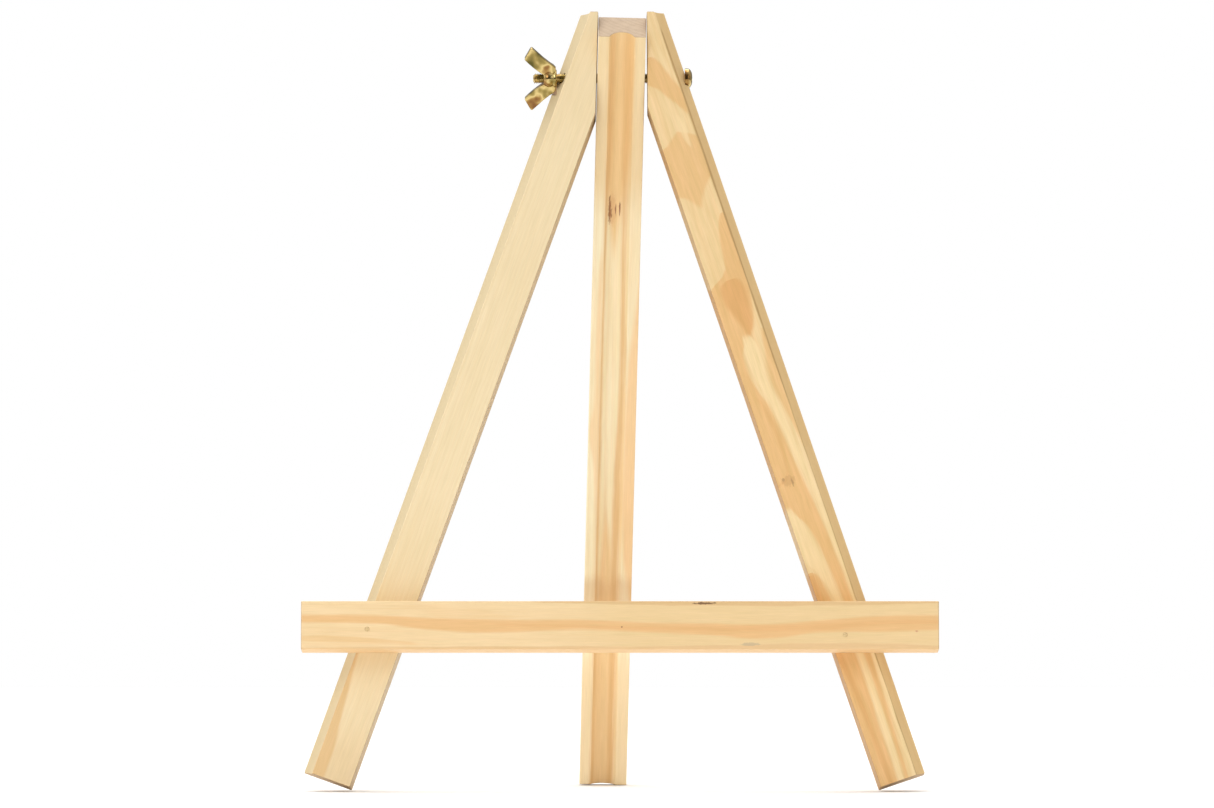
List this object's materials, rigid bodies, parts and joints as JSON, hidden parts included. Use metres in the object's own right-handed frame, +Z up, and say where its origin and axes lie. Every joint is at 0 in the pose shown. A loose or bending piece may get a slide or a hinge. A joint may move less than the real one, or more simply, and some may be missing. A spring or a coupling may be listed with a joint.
{
  "type": "tabletop easel",
  "caption": "Small wooden tabletop easel: splayed front legs with a canvas ledge nailed across them, and a grooved rear leg on a bolt clamped by a wing nut.",
  "frame": {"origin": "on the floor, in the middle of the ground that the standing easel covers", "axes": "+Z up, front (the canvas side) towards -Y, +X to the right of someone who faces the canvas"},
  "size_m": [0.2498, 0.0994, 0.3072],
  "materials": {
    "left_leg_pine": "bare sanded pine, pale and straight-grained",
    "right_leg_pine": "bare sanded pine, blotched orange and cream",
    "rear_leg_pine": "bare sanded pine, pale, with one small knot",
    "ledge_pine": "bare sanded pine with wavy orange growth bands",
    "yellow_zinc": "steel plated in yellow iridescent zinc",
    "pin_steel": "dull bright steel"
  },
  "bodies": {
    "front_frame": {"left_front_leg": "left_leg_pine", "right_front_leg": "right_leg_pine", "canvas_ledge": "ledge_pine", "left_ledge_pin": "pin_steel", "right_ledge_pin": "pin_steel"},
    "rear_leg": {"rear_leg": "rear_leg_pine"},
    "pivot_bolt": {"pivot_bolt": "yellow_zinc"},
    "wing_nut": {"wing_nut": "yellow_zinc"}
  },
  "joints": [
    {"name": "rear_leg_fold", "type": "hinge", "parent": "front_frame", "child": "rear_leg", "pos_m": [0, -0.00144, 0.28084], "axis": [1, 0, 0], "range_deg": [-15.44, 35]},
    {"name": "bolt_turn", "type": "hinge", "parent": "front_frame", "child": "pivot_bolt", "pos_m": [0, -0.00144, 0.28084], "axis": [1, 0, 0], "continuous": true},
    {"name": "wing_nut_turn", "type": "hinge", "parent": "pivot_bolt", "child": "wing_nut", "pos_m": [0, -0.00144, 0.28084], "axis": [1, 0, 0], "continuous": true}
  ]
}
